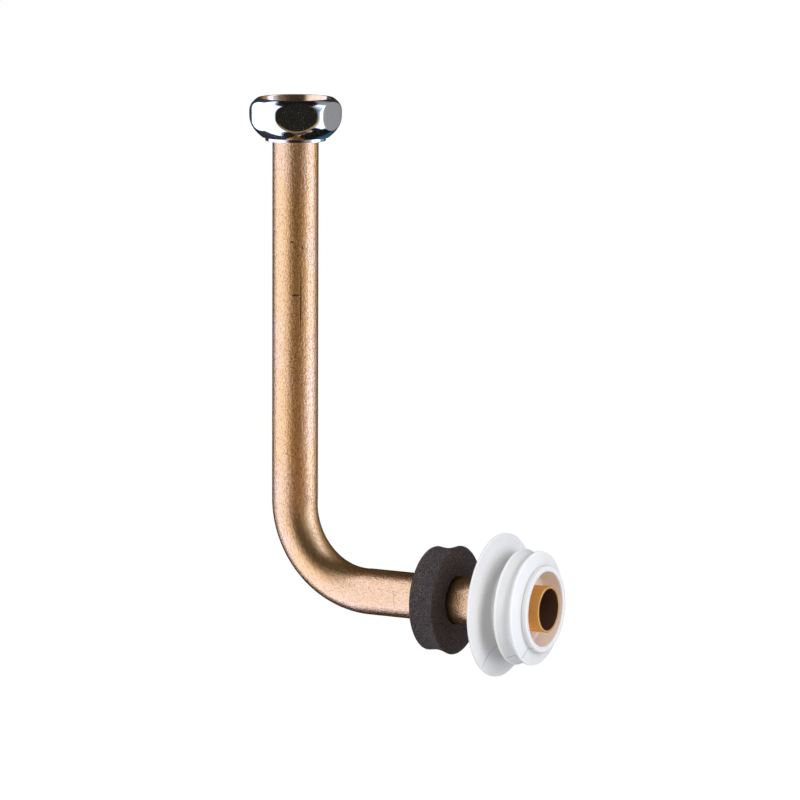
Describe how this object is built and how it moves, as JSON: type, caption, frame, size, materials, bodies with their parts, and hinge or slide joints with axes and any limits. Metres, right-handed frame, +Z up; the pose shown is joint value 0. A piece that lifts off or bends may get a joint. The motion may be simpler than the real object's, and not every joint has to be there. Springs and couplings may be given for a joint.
{
  "type": "urinal inlet connector",
  "caption": "Bent copper flush pipe with a chromed union nut and gasket at the valve end, and a foam ring and finned rubber cuff that seal its leg in a urinal's inlet.",
  "frame": {"origin": "centre of the seat gasket's top face, where the flush valve's outlet seats", "axes": "+Z up out of the riser towards the valve, +X along the outlet leg towards the urinal, +Y across the pipe's plane"},
  "size_m": [0.1284, 0.0558, 0.2198],
  "materials": {
    "copper": "bare drawn copper, fine lengthwise grain, slight tarnish",
    "nut": "polished chrome over brass, bare brass in the threaded mouth",
    "gasket": "flat matt black rubber",
    "foam": "charcoal cellular rubber with fine open pores",
    "cuff": "white satin moulded rubber"
  },
  "bodies": {
    "pipe": {"flush_pipe": "copper", "seat_gasket": "gasket"},
    "nut": {"union_nut": "nut"},
    "foam": {"foam_ring": "foam"},
    "cuff": {"inlet_cuff": "cuff"}
  },
  "joints": [
    {"name": "nut_spin", "type": "hinge", "parent": "pipe", "child": "nut", "pos_m": [0, 0, 0], "axis": [0, 0, 1], "continuous": true},
    {"name": "foam_slide", "type": "slide", "parent": "pipe", "child": "foam", "axis": [1, 0, 0], "range_m": [-0.024, 0.01]},
    {"name": "cuff_slide", "type": "slide", "parent": "pipe", "child": "cuff", "axis": [1, 0, 0], "range_m": [-0.003, 0.01]}
  ]
}
